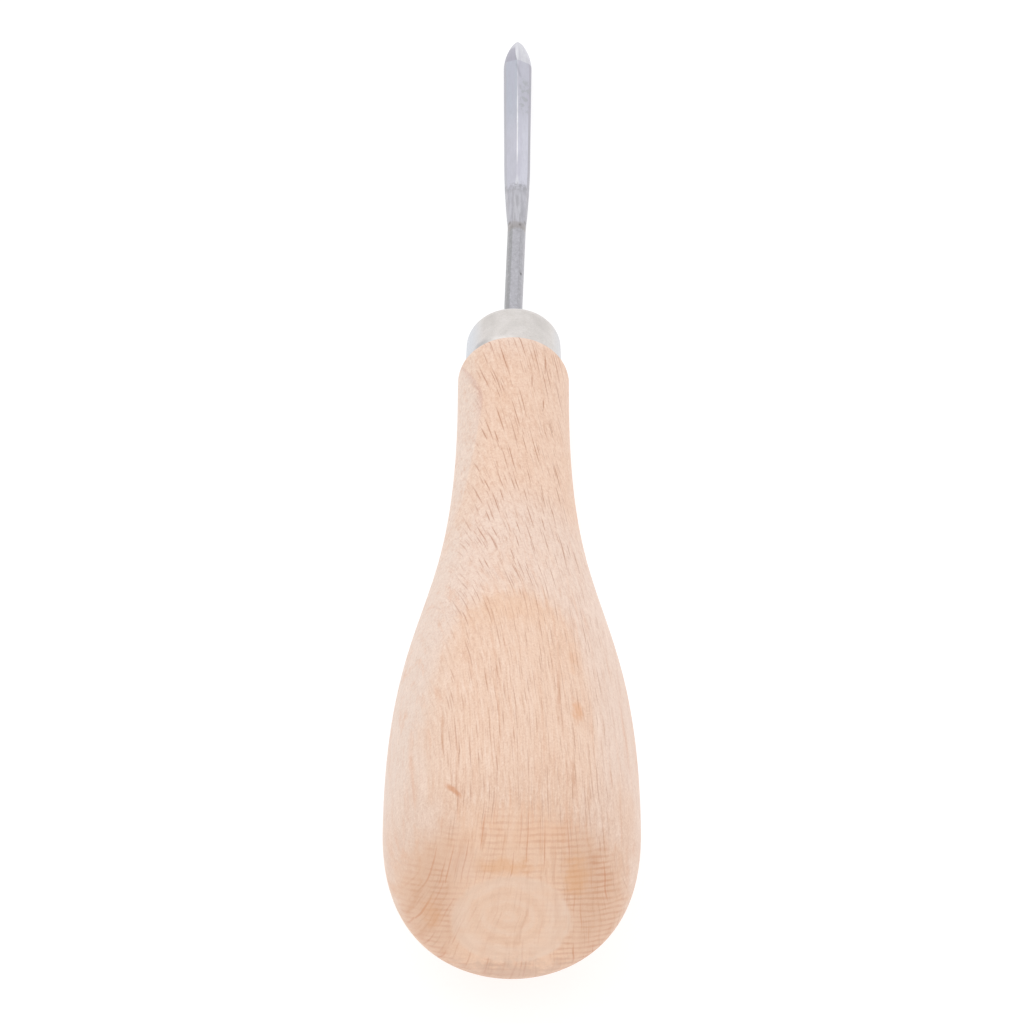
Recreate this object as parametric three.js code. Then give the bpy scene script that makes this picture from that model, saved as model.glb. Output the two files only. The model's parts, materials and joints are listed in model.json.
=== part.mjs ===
// Pear-handled leather awl: turned beech handle, rounded cap ferrule, diamond-section blade.
// Millimetres, +Z up. Each piece is turned about local Y, butt at y = 0 and point towards +Y;
// the finished group lies on the floor with its belly and the underside of its blade touching z = 0.
import * as THREE from 'three';

// Handle outline, measured along the axis from the butt.
const BUTT_FLAT_RADIUS = 7.0;
const BUTT_ROUND_PULL = 6.3;       // radial reach of the butt round's first curve handle
const BELLY_RADIUS = 16.25;
const BELLY_STATION = 15.3;
const BELLY_BACK_PULL = 10.9;      // axial reach of the curve behind the belly
const BELLY_FRONT_PULL = 39.6;     // axial reach of the curve in front of the belly
const NECK_RADIUS = 7.45;
const NECK_STATION = 97.0;
const NECK_PULL = 45.2;
const SHOULDER_ROUND = 2.35;
const SHOULDER_STATION = 103.1;    // where the wood stops and the ferrule starts
const SHOULDER_END_RADIUS = 6.6;

// Cap ferrule on the handle's tenon.
const JOINT_GAP = 0.3;
const FERRULE_REAR_RADIUS = 6.5;
const FERRULE_FRONT_RADIUS = 6.32;
const FERRULE_FRONT_STATION = 110.5;
const FERRULE_CORNER_RADIUS = 2.15;
const FERRULE_WALL = 0.8;
const FERRULE_INNER_RADIUS = 5.6;
const TENON_CHAMFER = 1.9;

// Blade, measured back from the point.
const TOTAL_LENGTH = 173.9;
const POINT_LENGTH = 7.0;
const BLADE_HALF_WIDTH = 1.93;
const BLADE_HALF_THICKNESS = 1.05;
const BLADE_REAR_HALF_WIDTH = 1.79;
const RUNOUT_START = 26.0;
const SHANK_START = 40.5;
const SHANK_RADIUS = 1.21;
const TANG_START = 62.0;
const TANG_LENGTH = 46.0;
const TANG_END_RADIUS = 0.7;
const BLADE_LEAN = 0.35;           // sideways set of the blade past the bent shank
const POINT_LEAN = 0.43;
const SOCKET_RADIUS = SHANK_RADIUS + JOINT_GAP;
const SOCKET_CLEARANCE_DEPTH = 2.0;

// Lying attitude: the axis falls towards the point.
const REST_TILT = THREE.MathUtils.degToRad(6.08);
const TURNED_SEGMENTS = 48;
const BLADE_SIDES = 16;

const beech = new THREE.MeshStandardMaterial({ color: 0xecd0b6, roughness: 0.55, metalness: 0 });
const ferruleMetal = new THREE.MeshStandardMaterial({ color: 0xd6d6d4, roughness: 0.35, metalness: 1 });
const bladeSteel = new THREE.MeshStandardMaterial({ color: 0xb9b8bf, roughness: 0.3, metalness: 1 });

const point = (radius, station) => new THREE.Vector2(radius, station);

// Turned body with a flat, not an edge, facing straight down.
function turn(profile) {
  const halfStep = Math.PI / TURNED_SEGMENTS;
  return new THREE.LatheGeometry(profile, TURNED_SEGMENTS, halfStep);
}

function curvePoints(a, b, c, d, steps) {
  return new THREE.CubicBezierCurve(a, b, c, d).getPoints(steps);
}

// Points of a rounded corner, from the side towards the front face, ended at stopAngle.
function cornerPoints(radius, station, round, steps, stopAngle = Math.PI / 2) {
  return Array.from({ length: steps + 1 }, (_, i) => {
    const angle = (stopAngle * i) / steps;
    return point(radius - round + round * Math.cos(angle), station - round + round * Math.sin(angle));
  });
}

function handleGeometry() {
  const buttRound = curvePoints(
    point(BUTT_FLAT_RADIUS, 0),
    point(BUTT_FLAT_RADIUS + BUTT_ROUND_PULL, 0),
    point(BELLY_RADIUS, BELLY_STATION - BELLY_BACK_PULL),
    point(BELLY_RADIUS, BELLY_STATION),
    12,
  );
  const bellyToNeck = curvePoints(
    point(BELLY_RADIUS, BELLY_STATION),
    point(BELLY_RADIUS, BELLY_STATION + BELLY_FRONT_PULL),
    point(NECK_RADIUS, NECK_STATION - NECK_PULL),
    point(NECK_RADIUS, NECK_STATION),
    18,
  );
  const roundCentre = NECK_RADIUS - SHOULDER_ROUND;
  const stopAngle = Math.acos((SHOULDER_END_RADIUS - roundCentre) / SHOULDER_ROUND);
  const roundStation = SHOULDER_STATION + SHOULDER_ROUND * (1 - Math.sin(stopAngle));
  const shoulder = cornerPoints(NECK_RADIUS, roundStation, SHOULDER_ROUND, 4, stopAngle);
  const tenonRadius = FERRULE_INNER_RADIUS - JOINT_GAP;
  const tenonEnd = FERRULE_FRONT_STATION - FERRULE_WALL - JOINT_GAP;
  const socketEnd = TOTAL_LENGTH - TANG_START - TANG_LENGTH - SOCKET_CLEARANCE_DEPTH;
  return turn([
    point(0, 0),
    ...buttRound,
    ...bellyToNeck.slice(1),
    ...shoulder,
    point(tenonRadius, SHOULDER_STATION),
    point(tenonRadius, tenonEnd - TENON_CHAMFER),
    point(tenonRadius - TENON_CHAMFER, tenonEnd),
    point(SOCKET_RADIUS, tenonEnd),
    point(SOCKET_RADIUS, socketEnd),
    point(0, socketEnd),
  ]);
}

function ferruleGeometry() {
  const rear = SHOULDER_STATION + JOINT_GAP;
  const innerFront = FERRULE_FRONT_STATION - FERRULE_WALL;
  const innerRound = FERRULE_CORNER_RADIUS - FERRULE_WALL;
  const outerCorner = cornerPoints(FERRULE_FRONT_RADIUS, FERRULE_FRONT_STATION, FERRULE_CORNER_RADIUS, 6);
  const innerCorner = cornerPoints(FERRULE_INNER_RADIUS, innerFront, innerRound, 4).reverse();
  return turn([
    point(FERRULE_REAR_RADIUS, rear),
    ...outerCorner,
    point(SOCKET_RADIUS, FERRULE_FRONT_STATION),
    point(SOCKET_RADIUS, innerFront),
    ...innerCorner,
    point(FERRULE_INNER_RADIUS, rear),
    point(FERRULE_REAR_RADIUS, rear),
  ]);
}

// Half width and half thickness of the blade, s millimetres back from the point.
function bladeHalfWidth(s) {
  if (s > TANG_START) {
    return THREE.MathUtils.lerp(SHANK_RADIUS, TANG_END_RADIUS, (s - TANG_START) / TANG_LENGTH);
  }
  if (s > SHANK_START) {
    return SHANK_RADIUS;
  }
  if (s > RUNOUT_START) {
    const t = (s - RUNOUT_START) / (SHANK_START - RUNOUT_START);
    return THREE.MathUtils.lerp(BLADE_REAR_HALF_WIDTH, SHANK_RADIUS, t * t);
  }
  if (s > POINT_LENGTH) {
    const t = (s - POINT_LENGTH) / (RUNOUT_START - POINT_LENGTH);
    return THREE.MathUtils.lerp(BLADE_HALF_WIDTH, BLADE_REAR_HALF_WIDTH, t);
  }
  return BLADE_HALF_WIDTH * Math.sin((Math.PI / 2) * (s / POINT_LENGTH)) ** 0.7;
}

function bladeHalfThickness(s) {
  if (s > SHANK_START) {
    return bladeHalfWidth(s);
  }
  if (s > RUNOUT_START) {
    const t = (s - RUNOUT_START) / (SHANK_START - RUNOUT_START);
    return THREE.MathUtils.lerp(BLADE_HALF_THICKNESS, SHANK_RADIUS, t);
  }
  const t = Math.min(s / POINT_LENGTH, 1);
  return BLADE_HALF_THICKNESS * Math.sin((Math.PI / 2) * t) ** 0.85;
}

// 1 gives a straight-sided diamond, 2 a round section.
function bladeRoundness(s) {
  return 1 + THREE.MathUtils.smoothstep(s, RUNOUT_START, SHANK_START);
}

function bladeLean(s) {
  const ferruleFace = TOTAL_LENGTH - FERRULE_FRONT_STATION;
  if (s < SHANK_START) {
    return THREE.MathUtils.lerp(POINT_LEAN, BLADE_LEAN, s / SHANK_START);
  }
  return BLADE_LEAN * (1 - THREE.MathUtils.smoothstep(s, SHANK_START, ferruleFace));
}

// Section stations: close together at the point and along the run-out.
function bladeStations() {
  const spaced = (from, to, count) => Array.from(
    { length: count },
    (_, i) => THREE.MathUtils.lerp(from, to, i / count),
  );
  return [
    ...spaced(0, POINT_LENGTH, 10),
    ...spaced(POINT_LENGTH, RUNOUT_START, 6),
    ...spaced(RUNOUT_START, SHANK_START, 10),
    ...spaced(SHANK_START, TANG_START, 8),
    ...spaced(TANG_START, TANG_START + TANG_LENGTH, 6),
    TANG_START + TANG_LENGTH,
  ];
}

// A closed cone whose rings are moved to the blade's stations and reshaped to its sections.
function bladeGeometry() {
  const stations = bladeStations();
  const last = stations.length - 1;
  const geometry = new THREE.ConeGeometry(1, 1, BLADE_SIDES, last);
  const position = geometry.attributes.position;
  for (let i = 0; i < position.count; i += 1) {
    const x = position.getX(i);
    const z = position.getZ(i);
    const ring = Math.round((0.5 - position.getY(i)) * last);
    const s = stations[ring];
    const onAxis = Math.hypot(x, z) < 1e-9;
    const angle = Math.atan2(z, x);
    const power = 2 / bladeRoundness(s);
    const across = Math.sign(Math.cos(angle)) * Math.abs(Math.cos(angle)) ** power;
    const up = Math.sign(Math.sin(angle)) * Math.abs(Math.sin(angle)) ** power;
    const reach = onAxis ? 0 : 1;
    position.setXYZ(
      i,
      bladeLean(s) + reach * bladeHalfWidth(s) * across,
      TOTAL_LENGTH - s,
      reach * bladeHalfThickness(s) * up,
    );
  }
  geometry.computeVertexNormals();
  return geometry;
}

function namedMesh(name, geometry, material) {
  const mesh = new THREE.Mesh(geometry, material);
  mesh.name = name;
  return mesh;
}

const awl = new THREE.Group();
awl.add(
  namedMesh('handle', handleGeometry(), beech),
  namedMesh('ferrule', ferruleGeometry(), ferruleMetal),
  namedMesh('blade', bladeGeometry(), bladeSteel),
);
awl.rotation.x = -REST_TILT;
awl.updateMatrixWorld(true);

// Stand the lying awl on z = 0, centred over the origin.
const bounds = new THREE.Box3().setFromObject(awl, true);
const centre = bounds.getCenter(new THREE.Vector3());
awl.position.set(-centre.x, -centre.y, -bounds.min.z);

const group = new THREE.Group();
group.add(awl);
group.updateMatrixWorld(true);

export default group;
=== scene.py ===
# Looks of a pear-handled leather awl: turned beech handle, cap ferrule, diamond-section blade.
# Shapes are given in the awl's own axes, in mm: across, along from the butt to the point, and up.
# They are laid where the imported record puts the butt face.
import json
import math

import bpy
from mathutils import Matrix, Vector


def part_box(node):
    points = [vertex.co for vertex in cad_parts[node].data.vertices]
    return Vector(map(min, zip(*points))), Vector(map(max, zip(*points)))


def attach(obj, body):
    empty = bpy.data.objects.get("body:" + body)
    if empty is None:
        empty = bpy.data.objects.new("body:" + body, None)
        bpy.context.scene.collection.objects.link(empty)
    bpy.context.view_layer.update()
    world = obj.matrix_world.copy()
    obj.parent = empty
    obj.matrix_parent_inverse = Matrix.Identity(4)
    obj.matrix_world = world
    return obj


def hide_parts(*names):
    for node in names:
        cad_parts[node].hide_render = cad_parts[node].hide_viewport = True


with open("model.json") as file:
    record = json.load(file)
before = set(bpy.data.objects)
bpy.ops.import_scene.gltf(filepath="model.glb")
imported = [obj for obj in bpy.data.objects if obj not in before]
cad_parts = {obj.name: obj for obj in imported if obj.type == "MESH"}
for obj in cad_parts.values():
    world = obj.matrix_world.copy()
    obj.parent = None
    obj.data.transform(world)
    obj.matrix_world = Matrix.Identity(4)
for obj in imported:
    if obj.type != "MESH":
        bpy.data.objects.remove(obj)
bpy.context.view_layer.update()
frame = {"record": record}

MM = 0.001

# Handle outline, in mm from the butt. A pull is how far off a curve's control point lies: the
# longer it is, the fuller the curve.
BUTT_FLAT_RADIUS = 7.0
BUTT_FLAT_STATION = 0.03
BUTT_FLAT_STEPS = 90
BUTT_ROUND_PULL = 5.85
BELLY_STATION = 15.3
BELLY_BACK_PULL = 10.8
BELLY_FRONT_PULL = 39.6
BELLY_MARGIN = 0.02           # keeps the belly inside the CAD solid's box
NECK_RADIUS = 7.4
NECK_STATION = 97.0
NECK_PULL = 45.2
SHOULDER_ROUND = 2.35
SHOULDER_STATION = 102.9
SHOULDER_END_RADIUS = 6.54
TENON_RADIUS = 5.3
TENON_END = 109.4
TENON_CHAMFER = 1.9
SOCKET_END = 63.9
HANDLE_SEGMENTS = 256
BUTT_ROUND_STEPS = 60
NECK_STEPS = 110
SHOULDER_STEPS = 14

# Sanding grooves on the butt: depth in mm, radians per mm, phase.
SANDING_GROOVES = ((0.012, 5.3, 0.0), (0.008, 11.7, 1.0))

# Cap ferrule.
FERRULE_REAR = 102.96
FERRULE_FRONT = 110.48
FERRULE_REAR_RADIUS = 6.48
FERRULE_FRONT_RADIUS = 6.3
FERRULE_CORNER_RADIUS = 2.15
FERRULE_WALL = 0.8
FERRULE_INNER_RADIUS = 5.62
FERRULE_LIP = 0.12
FERRULE_SEGMENTS = 192
FERRULE_OUTER_STEPS = 24
FERRULE_INNER_STEPS = 8
HOLE_RADIUS = 1.52
HOLE_EDGE_ROUND = 0.15
HOLE_EDGE_ANGLES = (0.0, 0.4, 0.8, 1.2, math.pi / 2)

# Blade, in mm back from the point.
TOTAL_LENGTH = 173.85
POINT_LENGTH = 6.4
POINT_START = 0.02            # sections ahead of this are as large as the one here
POINT_WIDTH_POWER = 0.64      # the lower, the blunter the point
POINT_THICKNESS_POWER = 0.9
BLADE_HALF_WIDTH = 1.93
BLADE_HALF_THICKNESS = 1.04
BLADE_REAR_HALF_WIDTH = 1.78
RUNOUT_START = 26.0
SHANK_START = 40.5
SHANK_RADIUS = 1.22
TANG_START = 62.0
TANG_LENGTH = 46.0
TANG_END_RADIUS = 0.7

# How far the blade's middle line is set to the side: at the point, at the shoulder where the
# shank begins, and just ahead of the ferrule. It is straight again inside the handle.
LEAN_AT_POINT = 0.43
LEAN_AT_SHOULDER = 0.38
LEAN_BY_FERRULE = -0.05
LEAN_FERRULE_STATION = 57.0
LEAN_STOP_STATION = 70.0
RIDGE_WANDER = 0.16

# The blade's ground section in mm, and the shank's as shares of its radius.
GROUND_SECTION = {"edge": 0.05, "hone": 0.33, "hone_height": 0.38, "ridge": 0.075}
SHANK_SECTION = {"edge": 0.3, "hone": 0.2, "hone_height": 0.7, "ridge": 0.42}
POINT_RIDGE_EXTRA = 0.14      # the ridge is wider where the point was ground
GROUND_ROUND = 0.02
SHANK_ROUND = 0.08

butt_mount = next(m for m in frame["record"]["mounts"] if m["name"] == "butt_face")
handle_low, handle_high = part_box("handle")
BELLY_RADIUS = (handle_high.x - handle_low.x) / 2 / MM - BELLY_MARGIN


def awl_placement():
    """The matrix that lays the awl's own frame where the record's butt face is."""
    along = -Vector(butt_mount["axis"]).normalized()
    across = Vector((1, 0, 0))
    up = across.cross(along)
    turn = Matrix((across, along, up)).transposed().to_4x4()
    return Matrix.Translation(Vector(butt_mount["pos_m"])) @ turn


PLACEMENT = awl_placement()


# ---------------------------------------------------------------- outlines and meshes

def lerp(a, b, t):
    return a + (b - a) * t


def smoothstep(low, high, x):
    t = min(max((x - low) / (high - low), 0.0), 1.0)
    return t * t * (3 - 2 * t)


def bezier(a, b, c, d, steps):
    """Points after a, up to and with d, on a cubic curve."""
    points = []
    for i in range(1, steps + 1):
        t = i / steps
        k = 1 - t
        weights = (k ** 3, 3 * k * k * t, 3 * k * t * t, t ** 3)
        points.append(tuple(sum(w * p[n] for w, p in zip(weights, (a, b, c, d))) for n in (0, 1)))
    return points


def corner(radius, station, round_, steps, stop=math.pi / 2):
    """Points of an outer corner from the side round to the front, as (radius, station)."""
    points = []
    for i in range(steps + 1):
        angle = stop * i / steps
        points.append((
            radius - round_ + round_ * math.cos(angle),
            station - round_ + round_ * math.sin(angle),
        ))
    return points


def finish_mesh(name, verts, faces, body, node, slot, material, sharp_deg=28):
    """Makes the piece, smooth but for its real edges, hides its CAD node and hangs the piece under its
    body.
    """
    mesh = bpy.data.meshes.new(name)
    mesh.from_pydata([tuple(PLACEMENT @ (Vector(v) * MM)) for v in verts], [], faces)
    mesh.validate()
    mesh.shade_smooth()
    mesh.set_sharp_from_angle(angle=math.radians(sharp_deg))
    piece = bpy.data.objects.new(name, mesh)
    bpy.context.scene.collection.objects.link(piece)
    mesh.materials.append(material)
    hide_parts(node)
    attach(piece, body)
    return piece


def lathe(profile, segments, closed=False):
    """Vertices and faces of a turned body, from its (radius, station) points.

    A profile that isn't closed ends on the axis.
    """
    verts, faces, rings = [], [], []
    for radius, station in profile:
        if radius < 1e-6:
            rings.append([len(verts)])
            verts.append((0.0, station, 0.0))
            continue
        rings.append(list(range(len(verts), len(verts) + segments)))
        for i in range(segments):
            angle = 2 * math.pi * i / segments
            verts.append((radius * math.sin(angle), station, radius * math.cos(angle)))
    pairs = list(zip(rings, rings[1:]))
    if closed:
        pairs.append((rings[-1], rings[0]))
    for near, far in pairs:
        for i in range(segments):
            j = (i + 1) % segments
            if len(near) == 1:
                faces.append((near[0], far[i], far[j]))
            elif len(far) == 1:
                faces.append((near[i], far[0], near[j]))
            else:
                faces.append((near[i], far[i], far[j], near[j]))
    return verts, faces


# ---------------------------------------------------------------- handle

def butt_face_profile():
    """The sanded disc, with the shallow round grooves that sanding on the lathe leaves."""
    points = [(0.0, BUTT_FLAT_STATION)]
    for i in range(1, BUTT_FLAT_STEPS + 1):
        radius = BUTT_FLAT_RADIUS * i / BUTT_FLAT_STEPS
        groove = sum(depth * math.sin(radius * pace + phase) for depth, pace, phase in SANDING_GROOVES)
        fade = 1 - smoothstep(BUTT_FLAT_RADIUS - 0.8, BUTT_FLAT_RADIUS, radius)
        points.append((radius, BUTT_FLAT_STATION + groove * fade))
    return points


def shoulder_profile():
    """The rounded front of the neck, stopping where it meets the ferrule's rear edge."""
    round_centre = NECK_RADIUS - SHOULDER_ROUND
    stop = math.acos((SHOULDER_END_RADIUS - round_centre) / SHOULDER_ROUND)
    round_station = SHOULDER_STATION + SHOULDER_ROUND * (1 - math.sin(stop))
    return corner(NECK_RADIUS, round_station, SHOULDER_ROUND, SHOULDER_STEPS, stop)


def handle_profile():
    butt_face = butt_face_profile()
    butt_round = bezier(
        butt_face[-1],
        (BUTT_FLAT_RADIUS + BUTT_ROUND_PULL, BUTT_FLAT_STATION),
        (BELLY_RADIUS, BELLY_STATION - BELLY_BACK_PULL),
        (BELLY_RADIUS, BELLY_STATION),
        BUTT_ROUND_STEPS,
    )
    belly_to_neck = bezier(
        (BELLY_RADIUS, BELLY_STATION),
        (BELLY_RADIUS, BELLY_STATION + BELLY_FRONT_PULL),
        (NECK_RADIUS, NECK_STATION - NECK_PULL),
        (NECK_RADIUS, NECK_STATION),
        NECK_STEPS,
    )
    tenon_and_socket = [
        (TENON_RADIUS, SHOULDER_STATION),
        (TENON_RADIUS, TENON_END - TENON_CHAMFER),
        (TENON_RADIUS - TENON_CHAMFER, TENON_END),
        (HOLE_RADIUS, TENON_END),
        (HOLE_RADIUS, SOCKET_END),
        (0.0, SOCKET_END),
    ]
    return butt_face + butt_round + belly_to_neck + shoulder_profile() + tenon_and_socket


# ---------------------------------------------------------------- ferrule

def ferrule_hole_edge():
    """The rounded edge of the hole that the shank comes out of."""
    points = []
    for angle in HOLE_EDGE_ANGLES:
        radius = HOLE_RADIUS + HOLE_EDGE_ROUND * (1 - math.sin(angle))
        points.append((radius, FERRULE_FRONT - HOLE_EDGE_ROUND * (1 - math.cos(angle))))
    return points


def ferrule_profile():
    outer = corner(FERRULE_FRONT_RADIUS, FERRULE_FRONT, FERRULE_CORNER_RADIUS, FERRULE_OUTER_STEPS)
    inner_front = FERRULE_FRONT - FERRULE_WALL
    inner_round = FERRULE_CORNER_RADIUS - FERRULE_WALL
    inner = corner(FERRULE_INNER_RADIUS, inner_front, inner_round, FERRULE_INNER_STEPS)[::-1]
    rear = [
        (FERRULE_INNER_RADIUS, FERRULE_REAR),
        (FERRULE_REAR_RADIUS - FERRULE_LIP, FERRULE_REAR),
        (FERRULE_REAR_RADIUS - FERRULE_LIP * 0.3, FERRULE_REAR + FERRULE_LIP * 0.3),
        (FERRULE_REAR_RADIUS, FERRULE_REAR + FERRULE_LIP),
    ]
    side = []
    for t in (0.2, 0.4, 0.6, 0.8):
        radius = lerp(FERRULE_REAR_RADIUS, FERRULE_FRONT_RADIUS, t)
        side.append((radius, lerp(FERRULE_REAR + FERRULE_LIP, outer[0][1], t)))
    return rear + side + outer + ferrule_hole_edge() + [(HOLE_RADIUS, inner_front)] + inner


# ---------------------------------------------------------------- blade

def blade_half_width(s):
    if s > TANG_START:
        return lerp(SHANK_RADIUS, TANG_END_RADIUS, (s - TANG_START) / TANG_LENGTH)
    if s > SHANK_START:
        return SHANK_RADIUS
    if s > RUNOUT_START:
        t = (s - RUNOUT_START) / (SHANK_START - RUNOUT_START)
        return lerp(BLADE_REAR_HALF_WIDTH, SHANK_RADIUS, t * t)
    if s > POINT_LENGTH:
        t = (s - POINT_LENGTH) / (RUNOUT_START - POINT_LENGTH)
        return lerp(BLADE_HALF_WIDTH, BLADE_REAR_HALF_WIDTH, t)
    rise = math.sin(math.pi / 2 * max(s, POINT_START) / POINT_LENGTH)
    return BLADE_HALF_WIDTH * rise ** POINT_WIDTH_POWER


def blade_half_thickness(s):
    if s > SHANK_START:
        return blade_half_width(s)
    if s > RUNOUT_START:
        t = (s - RUNOUT_START) / (SHANK_START - RUNOUT_START)
        return lerp(BLADE_HALF_THICKNESS, SHANK_RADIUS, t)
    t = min(max(s, POINT_START) / POINT_LENGTH, 1)
    return BLADE_HALF_THICKNESS * math.sin(math.pi / 2 * t) ** POINT_THICKNESS_POWER


def blade_lean(s):
    """Sideways set of the blade's middle line: a bend at the shoulder, then almost straight."""
    if s < SHANK_START:
        return lerp(LEAN_AT_POINT, LEAN_AT_SHOULDER, s / SHANK_START)
    if s < LEAN_FERRULE_STATION:
        t = (s - SHANK_START) / (LEAN_FERRULE_STATION - SHANK_START)
        return lerp(LEAN_AT_SHOULDER, LEAN_BY_FERRULE, t)
    return LEAN_BY_FERRULE * (1 - smoothstep(LEAN_FERRULE_STATION, LEAN_STOP_STATION, s))


def ridge_shift(s):
    """The ridge wanders to one side where the point was ground by hand."""
    return -RIDGE_WANDER * (1 - smoothstep(1.5, 6.0, s)) * smoothstep(0.0, 1.0, s)


def shank_share(s):
    """0 on the ground blade, 1 on the shank."""
    return smoothstep(RUNOUT_START + 2.5, SHANK_START - 1.0, s)


def blade_section(s):
    """Corners of the section: a diamond with honed edges and a narrow ridge, or the faceted shank."""
    w = blade_half_width(s)
    t = blade_half_thickness(s)
    point_flat = POINT_RIDGE_EXTRA * (1 - smoothstep(3.8, 5.6, s))
    ground = {
        "edge": min(GROUND_SECTION["edge"], 0.2 * t),
        "hone": min(GROUND_SECTION["hone"], 0.25 * w),
        "hone_height": min(GROUND_SECTION["hone_height"], 0.42 * t),
        "ridge": min(GROUND_SECTION["ridge"] + point_flat, 0.2 * w),
    }
    edge, hone, hone_height, ridge = (
        lerp(ground[part], SHANK_SECTION[part] * w, shank_share(s)) for part in ground
    )
    shift = ridge_shift(s)
    top = [
        (w, edge), (w - hone, hone_height), (ridge + shift, t),
        (-ridge + shift, t), (-w + hone, hone_height), (-w, edge),
    ]
    return [(w, -edge)] + top + [(x, -z) for x, z in reversed(top[1:])]


def rounded_section(corners, round_):
    """Each corner becomes three points, so that edges catch light as ground steel does."""
    points = []
    count = len(corners)
    for i, here in enumerate(corners):
        back = Vector(corners[i - 1]) - Vector(here)
        ahead = Vector(corners[(i + 1) % count]) - Vector(here)
        cut = min(round_, back.length * 0.4, ahead.length * 0.4)
        a = Vector(here) + back.normalized() * cut
        b = Vector(here) + ahead.normalized() * cut
        middle = (a + b) / 2 * 0.5 + Vector(here) * 0.5
        points += [tuple(a), tuple(middle), tuple(b)]
    return points


def blade_stations():
    """Where the sections stand, closest together at the point."""
    stretches = (
        (0.05, POINT_LENGTH, 44),
        (POINT_LENGTH, RUNOUT_START, 40),
        (RUNOUT_START, SHANK_START, 50),
        (SHANK_START, TANG_START, 40),
        (TANG_START, TANG_START + TANG_LENGTH, 12),
    )
    stations = []
    for start, stop, count in stretches:
        stations += [lerp(start, stop, i / count) for i in range(count)]
    return stations + [TANG_START + TANG_LENGTH]


def blade_mesh():
    verts, faces = [(blade_lean(0), TOTAL_LENGTH, 0.0)], []
    rings = []
    for s in blade_stations():
        round_ = lerp(GROUND_ROUND, SHANK_ROUND, shank_share(s))
        section = rounded_section(blade_section(s), round_)
        rings.append(list(range(len(verts), len(verts) + len(section))))
        verts += [(x + blade_lean(s), TOTAL_LENGTH - s, z) for x, z in section]
    count = len(rings[0])
    faces += [(0, rings[0][(i + 1) % count], rings[0][i]) for i in range(count)]
    for near, far in zip(rings, rings[1:]):
        for i in range(count):
            j = (i + 1) % count
            faces.append((near[i], near[j], far[j], far[i]))
    faces.append(tuple(rings[-1]))
    return verts, faces


# ---------------------------------------------------------------- shader helper

def srgb(red, green, blue):
    """An 8-bit sRGB colour as linear RGBA."""
    def linear(c):
        c /= 255
        return c / 12.92 if c <= 0.04045 else ((c + 0.055) / 1.055) ** 2.4
    return (linear(red), linear(green), linear(blue), 1.0)


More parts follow.
